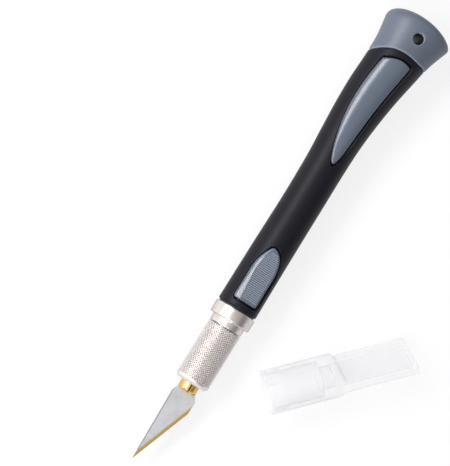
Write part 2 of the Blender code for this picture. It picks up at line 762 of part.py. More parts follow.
def build():
    clear_scene()
    blade_steel = make_material("blade_steel", (0.62, 0.63, 0.66), 0.28, 1.0)
    brass = make_material("brass", (0.78, 0.52, 0.17), 0.25, 1.0)
    aluminium = make_material("aluminium", (0.76, 0.73, 0.72), 0.34, 1.0)
    soft_black = make_material("soft_black", (0.016, 0.016, 0.018), 0.6)
    black_nylon = make_material("black_nylon", (0.012, 0.012, 0.013), 0.5)
    blue_grey = make_material("blue_grey_plastic", (0.13, 0.155, 0.21), 0.4)
    core_grey = make_material("core_plastic", (0.05, 0.055, 0.065), 0.5)
    clear = make_material("clear_plastic", (0.92, 0.92, 0.95), 0.08, 0.0, 0.9)

    table = make_empty("table_frame")
    knife = make_empty("knife_frame", table)
    handle_pieces = [
        make_handle_core(knife, core_grey),
        make_core_insert(knife, brass),
        make_collar(knife, aluminium),
        make_collar_washer(knife, black_nylon),
        make_grip_sleeve(knife, soft_black),
        make_end_cap(knife, blue_grey),
    ]
    pad_length = PAD_STRAIGHT + PAD_ARCH
    for side in ("upper", "lower"):
        lower = side == "lower"
        pad_name, inlay_name = f"finger_pad_{side}", f"side_inlay_{side}"
        pad = (pad_name, pad_point, pad_height, pad_length, PAD_HALF_WIDTH)
        inlay = (inlay_name, inlay_point, inlay_height, INLAY_LENGTH, INLAY_HALF_WIDTH)
        handle_pieces.append(make_insert(*pad, knife, blue_grey, lower))
        handle_pieces.append(make_insert(*inlay, knife, blue_grey, lower))
    chuck_pieces = [
        make_collet(knife, brass),
        make_chuck_sleeve(knife, aluminium),
        make_blade(knife, blade_steel),
    ]
    cap_frame = make_empty("cap_frame", table)
    cap = make_safety_cap(cap_frame, clear)

    knife.rotation_euler = (0.0, rest_tilt(), 0.0)
    knife.location.z = -min(p.z for piece in handle_pieces for p in world_points(piece))
    cap_frame.location = (*CAP_MOUTH_AT, cap_radius())
    cap_frame.rotation_euler = (-cap_roll(), 0.0, CAP_TURN)
    points = [p for piece in handle_pieces + chuck_pieces + [cap] for p in world_points(piece)]
    for axis in (0, 1):
        values = [p[axis] for p in points]
        table.location[axis] = -(min(values) + max(values)) / 2
    bpy.context.view_layer.update()


build()
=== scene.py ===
# Hobby craft knife with its clear safety cap lying beside it: the looks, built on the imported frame.
import json
import math

import bmesh
import bpy
import numpy as np
from mathutils import Matrix, Vector


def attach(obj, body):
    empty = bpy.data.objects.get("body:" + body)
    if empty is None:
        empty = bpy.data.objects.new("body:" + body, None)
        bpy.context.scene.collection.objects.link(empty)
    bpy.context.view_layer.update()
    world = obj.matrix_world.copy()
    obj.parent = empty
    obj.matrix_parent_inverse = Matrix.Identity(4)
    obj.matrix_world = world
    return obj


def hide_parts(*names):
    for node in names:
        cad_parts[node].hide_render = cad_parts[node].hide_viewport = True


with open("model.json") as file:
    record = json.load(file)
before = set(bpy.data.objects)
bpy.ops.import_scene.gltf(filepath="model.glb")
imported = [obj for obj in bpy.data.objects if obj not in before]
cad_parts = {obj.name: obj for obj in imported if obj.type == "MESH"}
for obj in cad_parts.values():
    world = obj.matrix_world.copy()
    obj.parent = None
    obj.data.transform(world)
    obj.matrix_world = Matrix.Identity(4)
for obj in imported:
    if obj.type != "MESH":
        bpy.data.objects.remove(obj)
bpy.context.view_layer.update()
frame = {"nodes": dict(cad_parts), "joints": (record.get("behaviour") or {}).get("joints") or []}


# Handle core: the hard spine of the handle, injection-moulded in dark glass-filled nylon.
# It lies buried under the grip and carries the pads, the inlays, the collar's bush and the end cap.


class Wire:
    """One output in a node tree, with the arithmetic that the finishes are written in."""

    def __init__(self, socket):
        self.socket = socket
        self.tree = socket.id_data

    def node(self, kind, inputs, settings=None, output=0):
        """Any node in the same tree, by its type, inputs and settings, and the output to go on from."""
        made = self.tree.nodes.new(kind)
        for name, value in (settings or {}).items():
            setattr(made, name, value)
        for name, value in inputs.items():
            self.put(value, made.inputs[name])
        return Wire(made.outputs[output])

    @staticmethod
    def put(value, socket):
        if isinstance(value, Wire):
            value.tree.links.new(value.socket, socket)
        else:
            socket.default_value = value

    def math(self, operation, *values):
        return self.node("ShaderNodeMath", dict(enumerate(values)), {"operation": operation})

    def __add__(self, other):
        return self.math("ADD", self, other)

    def __sub__(self, other):
        return self.math("SUBTRACT", self, other)

    def __rsub__(self, other):
        return self.math("SUBTRACT", other, self)

    def __mul__(self, other):
        return self.math("MULTIPLY", self, other)

    __radd__ = __add__
    __rmul__ = __mul__

    def vector(self, operation, *others, output=0):
        inputs = dict(enumerate((self, *others)))
        return self.node("ShaderNodeVectorMath", inputs, {"operation": operation}, output)

    def stretched(self, *factors):
        return self.vector("MULTIPLY", factors)

    def along(self, origin, axis):
        """How far a point lies from the origin along an axis."""
        return self.vector("DOT_PRODUCT", axis, output="Value") - Vector(origin).dot(axis)

    def away(self, origin, axis):
        """How far a point lies from the line through the origin along an axis."""
        moment = self.vector("SUBTRACT", origin).vector("CROSS_PRODUCT", axis)
        return moment.vector("LENGTH", output="Value")

    def painted(self, attribute):
        """A value that the mesh itself carries."""
        return self.node("ShaderNodeAttribute", {}, {"attribute_name": attribute}, "Fac")

    def noise(self, scale, detail=2.0, roughness=0.5):
        inputs = {"Vector": self, "Scale": scale, "Detail": detail, "Roughness": roughness}
        return self.node("ShaderNodeTexNoise", inputs)

    def streaks(self, scale, detail=3.0):
        """Noise in one direction only, as a tool leaves it."""
        inputs = {"W": self, "Scale": scale, "Detail": detail}
        return self.node("ShaderNodeTexNoise", inputs, {"noise_dimensions": "1D"})

    def ramp(self, low, high):
        """0 below low and 1 above high, with a smooth passage."""
        inputs = {"Value": self, "From Min": low, "From Max": high}
        return self.node("ShaderNodeMapRange", inputs, {"interpolation_type": "SMOOTHSTEP"})

    def blend(self, first, second):
        """The first colour where this is 0, and the second where it is 1."""
        return self.node("ShaderNodeMix", {0: self, 6: first, 7: second}, {"data_type": "RGBA"}, 2)

    def bump(self, distance):
        return self.node("ShaderNodeBump", {"Height": self, "Distance": distance})


def new_finish(name):
    """A material, its shader, and the wire with the piece's own coordinates."""
    material = bpy.data.materials.new(name)
    material.use_nodes = True
    nodes = material.node_tree.nodes
    return material, nodes["Principled BSDF"], Wire(nodes.new("ShaderNodeTexCoord").outputs["Object"])


def dress(shader, **values):
    for name, value in values.items():
        Wire.put(value, shader.inputs[name.replace("_", " ").title().replace("Ior", "IOR")])


def paint_node(name, material):
    """Gives a solid that is kept as it is its finish."""
    node = frame["nodes"][name]
    node.data.materials.clear()
    node.data.materials.append(material)


core_plastic, shader, point = new_finish("core_plastic")
fibres = point.stretched(0.15, 1, 1).noise(6000, 3)
dress(
    shader,
    base_color=fibres.blend((0.030, 0.033, 0.040, 1), (0.060, 0.065, 0.078, 1)),
    roughness=0.42 + 0.2 * fibres,
    normal=point.noise(9000).bump(0.000008),
)
paint_node("handle_core", core_plastic)


# Core insert: a brass bush turned from bar, knurled outside and pressed in the core's front end.
# The collar's shank screws into it, so the soft moulding never carries the thread.

sleeve_joint = next(joint for joint in frame["joints"] if joint["name"] == "sleeve_turn")
forward = Vector(sleeve_joint["axis"]).normalized()
axis_point = Vector(sleeve_joint["pos_m"])


def turned_metal(name, bright, dull, roughness):
    """Metal off the lathe: fine tool marks round the axis, under a thin uneven film from handling."""
    material, shader, point = new_finish(name)
    marks = point.along(axis_point, forward).streaks(12000.0)
    film = point.noise(500, 4, 0.6)
    metal = film.ramp(0.3, 0.75).blend(bright, dull)
    spread = roughness + 0.12 * marks + 0.10 * film
    dress(shader, base_color=metal, metallic=1.0, roughness=spread, normal=marks.bump(0.000003))
    dress(shader, specular_tint=(*(0.55 * band for band in dull[:3]), 1))
    return material, shader, point, metal


brass = turned_metal("brass", (0.93, 0.66, 0.26, 1), (0.80, 0.52, 0.17, 1), 0.28)[0]
paint_node("core_insert", brass)


# Grip: soft-touch rubber moulded over the core, dull black with a very fine spark-eroded grain.
# Each flank has two windows with rounded lips, and the rear edge rolls in under the end cap's arch.

SLEEVE_MIDDLE = -0.017425
GRIP_LENGTH, GRIP_WALL = 0.0917, 0.0016
FRONT_EDGE, REAR_EDGE = 0.0005, 0.0005
FLANK_RISE, BELLY_RISE = 0.0034, 0.0031
CORNER_BEHIND = 0.0125
CORNER = GRIP_LENGTH + CORNER_BEHIND
PAD_START, PAD_LENGTH, PAD_HALF, PAD_CORNER = 0.0026, 0.0192, 0.00405, 0.0008
PAD_ARCH, PAD_FULLNESS, PAD_LEAN = 0.0089, 0.57, 0.0009
INLAY_START, INLAY_LENGTH, INLAY_HALF, INLAY_CORNER = 0.0538, 0.0378, 0.0046, 0.0007
INLAY_BELOW, INLAY_DRIFT, INLAY_BOW, INLAY_BULGE, INLAY_SLANT = 0.0005, 0.0005, 0.0016, 0.0009, 0.0007
WINDOW_GAP, WINDOW_SHIFT, WINDOW_LIP, WINDOW_FLOOR = 0.00060, 0.00028, 0.00018, 0.0014
WINDOW_STEEPNESS, NARROWEST_LANE = 8, 0.0008
GRIP_ROWS, ROW_CROWDING, CROWDED_SHARE = 330, 2.5, 0.012
# share of the length to the rear corner, spine, belly, half thickness
STATIONS = np.array(
    (
        (0.000, 0.00673, 0.00671, 0.00672),
        (0.168, 0.00664, 0.00656, 0.00660),
        (0.415, 0.00644, 0.00650, 0.00647),
        (0.523, 0.00673, 0.00648, 0.00658),
        (0.603, 0.00729, 0.00670, 0.00680),
        (0.702, 0.00786, 0.00760, 0.00720),
        (0.780, 0.00798, 0.00871, 0.00760),
        (0.859, 0.00767, 0.01024, 0.00805),
        (0.928, 0.00768, 0.01168, 0.00850),
        (1.000, 0.00868, 0.01420, 0.00905),
    )
)
SLOPES = np.gradient(STATIONS[:, 1:], STATIONS[:, 0], axis=0)

# the knife's own frame: X rearward from the grip's front end, Y to the spine, Z out of the upper flank
knife = Matrix((-forward, (0, 1, 0), -forward.cross((0, 1, 0)))).transposed().to_4x4()
knife.translation = axis_point + SLEEVE_MIDDLE * forward


def section(x):
    """Centre, half height and half thickness of the handle at places along it."""
    share = np.clip(np.asarray(x, float) / CORNER, 0, 1)
    i = np.clip(np.searchsorted(STATIONS[:, 0], share, side="right") - 1, 0, len(STATIONS) - 2)
    step = (STATIONS[i + 1, 0] - STATIONS[i, 0])[..., None]
    t = (share - STATIONS[i, 0])[..., None] / step
    start, end = STATIONS[i, 1:], STATIONS[i + 1, 1:]
    row = start + (end - start) * t * t * (3 - 2 * t)
    row = row + SLOPES[i] * step * t * (1 - t) ** 2 - SLOPES[i + 1] * step * t * t * (1 - t)
    spine, belly, thickness = row[..., 0], row[..., 1], row[..., 2]
    return (spine - belly) / 2, (spine + belly) / 2, thickness


def cap_line(angle):
    """Where grip and end cap meet, by the angle round the handle from its spine."""
    flank = np.sin(angle) ** 2
    return GRIP_LENGTH + FLANK_RISE * flank + BELLY_RISE * (1 - np.cos(angle)) / 2 * (1 - flank)


def handle_points(x, angle, inset=0.0):
    centre, height, thickness = section(x)
    y = centre + (height - inset) * np.cos(angle)
    return np.stack(np.broadcast_arrays(x, y, (thickness - inset) * np.sin(angle)), -1)


def surface_height(x, y):
    """Half thickness of the handle over places on its flank."""
    centre, height, thickness = section(x)
    return thickness * np.sqrt(1 - np.clip(np.abs(y - centre) / height, 0, 0.98) ** 2)


def rounding(depth, radius):
    """How far a rounded edge has fallen below its surface at this depth inside the edge."""
    near = np.clip(radius - depth, 0, radius)
    return radius - np.sqrt(radius**2 - near**2)


def pad_half(x, margin):
    """Half width of a finger pad: rounded front corners, straight sides, then a pointed arch."""
    arch = np.clip((x - PAD_START - PAD_LENGTH + PAD_ARCH) / (PAD_ARCH + margin), 0, 1)
    half = (PAD_HALF + margin) * (1 - arch**2) ** PAD_FULLNESS
    return half - rounding(x - PAD_START + margin, PAD_CORNER + margin)


def pad_middle(x):
    """The middle of a finger pad: straight, with the very end of its arch drawn to the spine."""
    return PAD_LEAN * np.clip((x - PAD_START - PAD_LENGTH + PAD_ARCH) / PAD_ARCH, 0, 1) ** 8


def pad_point(u, v, margin):
    x = PAD_START - margin + u * (PAD_LENGTH + 2 * margin)
    return x, pad_middle(x) + v * pad_half(x, margin)


def inlay_lane(u, margin):
    """Middle and half width of a side inlay, a horn that bows towards the spine."""
    bow = -INLAY_BELOW - INLAY_DRIFT * u + INLAY_BOW * np.sin(np.pi * u)
    half = (INLAY_HALF + margin) * np.sqrt(np.sin(np.pi / 2 * u))
    return bow, half - rounding((1 - u) * INLAY_LENGTH, INLAY_CORNER)


def inlay_point(u, v, margin):
    bow, half = inlay_lane(u, margin)
    x = INLAY_START - margin + u * (INLAY_LENGTH + 2 * margin)
    return x + (INLAY_BULGE * (1 - v * v) - INLAY_SLANT * v) * u**3, bow + v * half


def outline_loop(outline, margin):
    """The outline of a pad or inlay as one loop of points."""
    u = 0.5 - 0.5 * np.cos(np.linspace(0, np.pi, 120))
    v = np.linspace(-1, 1, 25)
    sides = [outline(*side, margin) for side in ((u, -1.0), (1.0, v), (u[::-1], 1.0), (0.0, -v))]
    return np.concatenate([np.stack(np.broadcast_arrays(x, y), -1) for x, y in sides])


def depth_inside(points, loop):
    """Distance of each (x, y) from a loop's edge, positive inside it."""
    found = np.empty(len(points))
    step = np.roll(loop, -1, 0) - loop
    real = (step**2).sum(1) > 1e-16
    start, step = loop[real], step[real]
    rise = np.where(step[:, 1] == 0, 1e-12, step[:, 1])
    for low in range(0, len(points), 4000):
        p = points[low : low + 4000, None] - start
        t = np.clip((p * step).sum(2) / (step**2).sum(1), 0, 1)
        distance = np.sqrt(((p - t[..., None] * step) ** 2).sum(2)).min(1)
        spans = (p[..., 1] < 0) != (p[..., 1] < step[:, 1])
        crossed = spans & (p[..., 0] < p[..., 1] * step[:, 0] / rise)
        found[low : low + 4000] = np.where(crossed.sum(1) % 2, distance, -distance)
    return found


def grip_angles(x):
    """Columns round half of the grip, crowded along the edges of the windows."""
    rear = np.clip((x - PAD_START - PAD_LENGTH) / (INLAY_START - PAD_START - PAD_LENGTH), 0, 1)
    bow, inlay_half = inlay_lane(np.clip((x - INLAY_START) / INLAY_LENGTH, 0, 1), WINDOW_GAP)
    middle = bow * rear - WINDOW_SHIFT
    half = np.maximum(pad_half(x, WINDOW_GAP), NARROWEST_LANE) * (1 - rear)
    half = half + np.maximum(inlay_half, NARROWEST_LANE) * rear
    centre, height, _ = section(x)
    upper, lower = (np.arccos((middle + side * half - centre) / height)[:, None] for side in (1, -1))
    t = np.linspace(0, 1, 25)
    late = 0.45 * t + 0.55 * np.sin(np.pi / 2 * t)
    between = upper + (lower - upper) * (0.5 - 0.5 * np.cos(np.pi * t))
    below = lower + (np.pi - lower) * (1 - late[::-1])
    return np.concatenate([upper * late[:-1], between[:, :-1], below], 1)


def grip_rings():
    """Rings of the grip: front edge, skin with its windows, rear edge, then back along the inside."""
    x = np.linspace(0, 1, 2000)
    ends = np.array((PAD_START, PAD_START + PAD_LENGTH, INLAY_START, INLAY_START + INLAY_LENGTH))
    from_end = (x[:, None] - ends / GRIP_LENGTH) / CROWDED_SHARE
    crowd = np.cumsum(1 + ROW_CROWDING * np.exp(-(from_end**2)).sum(1))
    share = np.interp(np.linspace(crowd[0], crowd[-1], GRIP_ROWS), crowd, x)
    angle = grip_angles(share * cap_line(np.pi / 2))
    place = FRONT_EDGE + share[:, None] * (cap_line(angle) - FRONT_EDGE - REAR_EDGE)
    flat = handle_points(place, angle)[..., :2].reshape(-1, 2) + (0, WINDOW_SHIFT)
    inset = np.zeros(len(flat))
    for outline in (pad_point, inlay_point):
        depth = depth_inside(flat, outline_loop(outline, WINDOW_GAP))
        side = np.clip(WINDOW_STEEPNESS * depth, 0, WINDOW_FLOOR - WINDOW_LIP)
        inset = np.maximum(inset, rounding(-depth, WINDOW_LIP) + side)
    turn = np.linspace(0, np.pi / 2, 8)[:-1, None]
    front_place = FRONT_EDGE * (1 - np.cos(turn))
    front = handle_points(front_place, angle[0], FRONT_EDGE * (1 - np.sin(turn)))
    rear_place = cap_line(angle[-1]) - REAR_EDGE * (1 - np.sin(turn))
    rear = handle_points(rear_place, angle[-1], REAR_EDGE * (1 - np.cos(turn)))
    inside = np.linspace(1, 0, 14)[:, None] * cap_line(angle[-1])
    skin_rows = handle_points(place, angle, inset.reshape(angle.shape))
    return np.concatenate([front, skin_rows, rear, handle_points(inside, angle[-1], GRIP_WALL)])


def skin(rings, closed=False):
    """Points and faces over a stack of rings, capped at both ends or closed on itself."""
    count, sides = rings.shape[:2]
    i = np.arange(count if closed else count - 1)[:, None]
    j = np.arange(sides)
    here, there, following = i * sides, (i + 1) % count * sides, (j + 1) % sides
    corners = (here + j, here + following, there + following, there + j)
    faces = np.stack(corners, -1).reshape(-1, 4).tolist()
    if not closed:
        faces += [list(range(sides)), list(range((count - 1) * sides, count * sides))]
    return rings.reshape(-1, 3), faces


def to_mesh(name, points, faces, place, sharp=40):
    """A shaded mesh set in its place, with its normals turned outwards."""
    mesh = bpy.data.meshes.new(name)
    mesh.from_pydata(points.tolist(), [], faces)
    work = bmesh.new()
    work.from_mesh(mesh)
    bmesh.ops.remove_doubles(work, verts=work.verts, dist=1e-7)
    bmesh.ops.recalc_face_normals(work, faces=work.faces)
    work.transform(place)
    if place.determinant() < 0:
        bmesh.ops.reverse_faces(work, faces=work.faces)
    work.to_mesh(mesh)
    work.free()
    mesh.shade_smooth()
    mesh.set_sharp_from_angle(angle=math.radians(sharp))
    return mesh


def add_piece(name, mesh, material, body, node):
    """Makes the mesh a piece that rides on a body and stands for one of its solids."""
    mesh.materials.clear()
    mesh.materials.append(material)
    piece = bpy.data.objects.new(name, mesh)
    bpy.context.collection.objects.link(piece)
    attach(piece, body)
    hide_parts(node)


grip_half = grip_rings()
grip = np.concatenate([grip_half, grip_half[:, -2:0:-1] * (1, 1, -1)], 1)

soft_black, shader, point = new_finish("soft_black")
grain = point.noise(2800, 5, 0.75)
handling = point.noise(90, 3, 0.55)
tone = 0.6 * grain + 0.4 * handling
dress(
    shader,
    base_color=tone.blend((0.0030, 0.0029, 0.0048, 1), (0.0130, 0.0125, 0.0195, 1)),
    roughness=0.48 + 0.10 * grain - 0.10 * handling,
    specular_ior_level=0.19,
    normal=grain.bump(0.00003),
)
soft_grip = to_mesh("soft_grip", *skin(grip, True), knife, 50)
add_piece("soft_grip", soft_grip, soft_black, "handle", "grip_sleeve")


# Finger pads: hard blue-grey plastic, bonded on the core through a window in each flank of the grip.
# Each is bullet-shaped, with a broad rolled rim on its spine side and a panel of fine moulded ribs,
# whose crests are painted paler as a painted highlight.

BLOCK_ROWS, BLOCK_COLUMNS, FRONT_BLUNT, REAR_BLUNT = 150, 49, 0.08, 0.02
PAD_RIM, PAD_PROUD, CORE_GAP = 0.0003, 0.0001, 0.0001
RIM_WIDTHS, PANEL_MARGIN = (0.0021, 0.0013), 0.0007
RIB_PITCH, RIB_RADIUS, RIB_SINK, FIRST_RIB, LAST_RIB = 0.000625, 0.00036, 0.00018, 0.0013, 0.0012


def panel_sides(x):
    """Spine and belly side of the ribbed panel, and the pad's height along both."""
    half = pad_half(x, 0.0)
    rim_width = np.interp(x, (PAD_START, PAD_START + PAD_LENGTH - PAD_ARCH), RIM_WIDTHS)
    spine = pad_middle(x) + half - rim_width
    belly = np.minimum(pad_middle(x) - half + PANEL_MARGIN, spine)
    return spine, belly, surface_height(x, spine), surface_height(x, belly)


def pad_height(x, y):
    """A pad is flat across its panel and across the rim, and follows the handle on its belly side."""
    spine, belly, high, low = panel_sides(x)
    edge = pad_middle(x) + pad_half(x, 0.0)
    panel = low + (high - low) * (y - belly) / np.maximum(spine - belly, 1e-9)
    rim = high + (surface_height(x, edge) - high) * (y - spine) / (edge - spine)
    return np.where(y > spine, rim, np.where(y > belly, panel, surface_height(x, y))) + PAD_PROUD


def let_in(outline, height, rim, crown=0.0):
    """Rings of a block let into a window, with a rounded rim on top, and crowned across."""
    u = 0.5 - 0.5 * np.cos(np.linspace(FRONT_BLUNT, np.pi - REAR_BLUNT, BLOCK_ROWS))[:, None]
    v = np.sin(np.linspace(-1, 1, BLOCK_COLUMNS) * np.pi / 2)
    x, y = np.broadcast_arrays(*outline(u, v, 0.0))
    flat = np.stack([x, y], -1)
    loop = np.concatenate([flat[:, 0], flat[-1], flat[::-1, -1], flat[0, ::-1]])
    depth = np.maximum(depth_inside(flat.reshape(-1, 2), loop), 0).reshape(x.shape)
    top = np.stack([x, y, height(x, y) - crown * v * v - rounding(depth / 2, rim)], -1)
    base = np.stack([x, y, surface_height(x, y) - GRIP_WALL + CORE_GAP], -1)
    return np.concatenate([top, base[:, ::-1]], 1)


def repeat(spots, turns, stretch, stock, sides, sizes, finish):
    """Geometry Nodes that set one small shape on every spot; it comes back as a plain mesh."""
    mesh = bpy.data.meshes.new("spots")
    mesh.from_pydata(spots.tolist(), [], [])
    for name, values in (("turn", turns), ("stretch", stretch)):
        mesh.attributes.new(name, "FLOAT_VECTOR", "POINT").data.foreach_set("vector", values.ravel())
    carrier = bpy.data.objects.new("spots", mesh)
    bpy.context.collection.objects.link(carrier)
    tree = bpy.data.node_groups.new("repeat", "GeometryNodeTree")
    tree.interface.new_socket("Spots", in_out="INPUT", socket_type="NodeSocketGeometry")
    tree.interface.new_socket("Pieces", in_out="OUTPUT", socket_type="NodeSocketGeometry")
    keys = {}
    for name in sizes:
        size_input = tree.interface.new_socket(name, in_out="INPUT", socket_type="NodeSocketFloat")
        keys[name] = size_input.identifier
    given = tree.nodes.new("NodeGroupInput")
    shape = tree.nodes.new(stock)
    shape.inputs["Vertices"].default_value = sides
    for name in sizes:
        tree.links.new(given.outputs[name], shape.inputs[name])
    placed = tree.nodes.new("GeometryNodeInstanceOnPoints")
    tree.links.new(given.outputs["Spots"], placed.inputs["Points"])
    tree.links.new(shape.outputs["Mesh"], placed.inputs["Instance"])
    for name, socket in (("turn", "Rotation"), ("stretch", "Scale")):
        read = tree.nodes.new("GeometryNodeInputNamedAttribute")
        read.data_type = "FLOAT_VECTOR"
        read.inputs["Name"].default_value = name
        tree.links.new(read.outputs["Attribute"], placed.inputs[socket])
    real = tree.nodes.new("GeometryNodeRealizeInstances")
    tree.links.new(placed.outputs["Instances"], real.inputs["Geometry"])
    painted = tree.nodes.new("GeometryNodeSetMaterial")
    painted.inputs["Material"].default_value = finish
    tree.links.new(real.outputs["Geometry"], painted.inputs["Geometry"])
    result = tree.nodes.new("NodeGroupOutput")
    tree.links.new(painted.outputs["Geometry"], result.inputs["Pieces"])
    modifier = carrier.modifiers.new("repeat", "NODES")
    modifier.node_group = tree
    for name, value in sizes.items():
        modifier[keys[name]] = value
    made = bpy.data.meshes.new_from_object(carrier.evaluated_get(bpy.context.evaluated_depsgraph_get()))
    bpy.data.objects.remove(carrier, do_unlink=True)
    return made


def joined(mesh, other, place, sharp=40):
    """Adds a second mesh, set in its place, to the first."""
    work = bmesh.new()
    work.from_mesh(other)
    work.transform(place)
    if place.determinant() < 0:
        bmesh.ops.reverse_faces(work, faces=work.faces)
    work.from_mesh(mesh)
    work.to_mesh(mesh)
    work.free()
    mesh.shade_smooth()
    mesh.set_sharp_from_angle(angle=math.radians(sharp))


def grey_plastic(name, roughness):
    """Blue-grey plastic as it leaves the mould, faintly clouded."""
    material, shader, point = new_finish(name)
    mould = point.noise(3200)
    cloud = point.noise(120)
    grey = (0.35 * mould + 0.65 * cloud).blend((0.092, 0.112, 0.150, 1), (0.128, 0.152, 0.197, 1))
    dress(shader, base_color=grey, roughness=roughness + 0.08 * mould, normal=mould.bump(0.000005))
    return material, shader, point, grey


blue_grey, shader, point, grey = grey_plastic("blue_grey_plastic", 0.22)
# The pads' colour turns paler where the mesh attribute is high: a painted highlight on the rib crests.
dress(shader, base_color=point.painted("painted_highlight").blend(grey, (0.27, 0.30, 0.36, 1)))

rib_x = np.arange(PAD_START + FIRST_RIB, PAD_START + PAD_LENGTH - LAST_RIB, RIB_PITCH)
spine, belly, high, low = panel_sides(rib_x)
blank = np.zeros_like(rib_x)
rib_spots = np.stack([rib_x, (spine + belly) / 2, (high + low) / 2 + PAD_PROUD - RIB_SINK], -1)
rib_turns = np.stack([np.pi / 2 + np.arctan2(high - low, spine - belly), blank, blank], -1)
rib_stretch = np.stack([blank + 1, blank + 1, spine - belly], -1)
rib_sizes = {"Radius": RIB_RADIUS, "Depth": 1.0}
ribs = repeat(rib_spots, rib_turns, rib_stretch, "GeometryNodeMeshCylinder", 16, rib_sizes, blue_grey)
# Painted highlight on the ribs: the attribute is 1 on each crest and falls to 0 between ribs.
from_crest = [(corner.co.x - rib_x[0]) / RIB_PITCH for corner in ribs.vertices]
crest = np.cos(2 * np.pi * np.array(from_crest)) / 2 + 0.5
ribs.attributes.new("painted_highlight", "FLOAT", "POINT").data.foreach_set("value", crest)
for side, flank in (("upper", 1), ("lower", -1)):
    place = knife @ Matrix.Diagonal((1, 1, flank, 1))
    pad = to_mesh(f"ribbed_pad_{side}", *skin(let_in(pad_point, pad_height, PAD_RIM)), place)
    joined(pad, ribs, place)
    node = f"finger_pad_{side}"
    add_piece(f"ribbed_pad_{side}", pad, blue_grey, "handle", node)


# Side inlays: the same blue-grey plastic, smooth and horn-shaped, one on each flank behind the waist.
# They are bonded on the core like the pads and stand just proud of the grip, following its swell.

INLAY_RIM, INLAY_CROWN, INLAY_PROUD = 0.0003, 0.0003, 0.0002


def inlay_height(x, y):
    return surface_height(x, y) + INLAY_PROUD


for side, flank in (("upper", 1), ("lower", -1)):
    place = knife @ Matrix.Diagonal((1, 1, flank, 1))
    rings = let_in(inlay_point, inlay_height, INLAY_RIM, INLAY_CROWN)
    inlay = to_mesh(f"horn_inlay_{side}", *skin(rings), place)
    node = f"side_inlay_{side}"
    add_piece(f"horn_inlay_{side}", inlay, blue_grey, "handle", node)


# End cap: blue-grey plastic moulded in one flared piece, glued on the core's tenon behind the grip.
# Its end is domed, fuller towards the spine, and a hole to hang it by runs through both flanks.
# The front rim and the hole's rounded lips are painted paler as a painted highlight, and the wall of
# the hole is painted dark as painted shade.

CAP_GAP, CAP_STEP, CAP_EDGE = 0.00015, 0.00009, 0.0004
SOCKET_DEPTH, SOCKET_HEIGHT, SOCKET_THICKNESS = 0.00595, 0.00535, 0.00455
DOME_HEIGHT, DOME_SQUARENESS, DOME_FULLNESS, DOME_SKEW, DOME_TURN = 0.00455, 2.2, 6, 0.0010, 1.53
HOLE_RADIUS, HOLE_LIP, HOLE_LIP_TURN, HOLE_FROM_END = 0.0017, 0.0007, 1.3, 0.0076


def end_cap_rings():
    angle = np.linspace(0, 2 * np.pi, 160, endpoint=False)
    front = cap_line(angle) + CAP_GAP
    middle = section(GRIP_LENGTH)[0]
    rings = []
    for x in (GRIP_LENGTH + SOCKET_DEPTH, front):
        y = middle + SOCKET_HEIGHT * np.cos(angle)
        rings.append(np.stack(np.broadcast_arrays(x, y, SOCKET_THICKNESS * np.sin(angle)), -1))
    for turn in np.linspace(0, np.pi / 2, 7):
        inset = CAP_EDGE * (1 - np.sin(turn)) - CAP_STEP
        rings.append(handle_points(front + CAP_EDGE * (1 - np.cos(turn)), angle, inset))
    for share in np.linspace(0, 1, 26)[1:]:
        x = front + CAP_EDGE + share * (CORNER - front - CAP_EDGE)
        rings.append(handle_points(x, angle, -CAP_STEP))
    centre, height, thickness = section(CORNER)
    for share in np.cos(np.linspace(0, DOME_TURN, 30)[1:]):
        rise = (1 - share**DOME_SQUARENESS) ** (1 / DOME_SQUARENESS)
        x = CORNER + DOME_HEIGHT * rise + DOME_SKEW * rise * share * np.cos(angle)
        y = centre + (height + CAP_STEP) * share * np.cos(angle)
        z = (thickness + CAP_STEP) * np.sqrt(1 - rise**DOME_FULLNESS) * np.sin(angle)
        rings.append(np.stack([x, y, z], -1))
    return np.stack(rings)


hole_place = CORNER + DOME_HEIGHT - HOLE_FROM_END


def hole_cutter():
    centre, _, thickness = section(hole_place)
    turn = np.linspace(0, HOLE_LIP_TURN, 9)
    outside = 2 * thickness
    z = np.append(thickness + CAP_STEP - HOLE_LIP + HOLE_LIP * np.sin(turn), outside)
    radius = np.append(HOLE_RADIUS + HOLE_LIP * (1 - np.cos(turn)), HOLE_RADIUS + HOLE_LIP + outside)
    z, radius = np.append(-z[::-1], z)[:, None], np.append(radius[::-1], radius)[:, None]
    angle = np.linspace(0, 2 * np.pi, 72, endpoint=False)
    rings = (hole_place + radius * np.cos(angle), centre + radius * np.sin(angle), z)
    return to_mesh("hole", *skin(np.stack(np.broadcast_arrays(*rings), -1)), knife)


def carved(mesh, *cutters):
    """The mesh with each cutter taken out of it."""
    stock, *tools = [bpy.data.objects.new(shape.name, shape) for shape in (mesh, *cutters)]
    for tool in (stock, *tools):
        bpy.context.collection.objects.link(tool)
    for tool in tools:
        boolean = stock.modifiers.new(tool.name, "BOOLEAN")
        boolean.operation, boolean.solver, boolean.object = "DIFFERENCE", "EXACT", tool
    made = bpy.data.meshes.new_from_object(stock.evaluated_get(bpy.context.evaluated_depsgraph_get()))
    for spent in (stock, *tools):
        bpy.data.objects.remove(spent, do_unlink=True)
    made.shade_smooth()
    made.set_sharp_from_angle(angle=math.radians(40))
    return made


end_piece = carved(to_mesh("flared_end", *skin(end_cap_rings()), knife), hole_cutter())
# A pale band along the front rim, carried by a mesh attribute: a painted highlight.
x, y, z = np.array([knife.inverted() @ corner.co for corner in end_piece.vertices]).T
centre, height, thickness = section(x)
from_front = x - cap_line(np.arctan2(z / thickness, (y - centre) / height))
on_skin = np.hypot((y - centre) / height, z / thickness) > 0.9
rim = np.clip(1.5 - from_front / CAP_EDGE, 0, 1) * on_skin
end_piece.attributes.new("painted_highlight", "FLOAT", "POINT").data.foreach_set("value", rim)

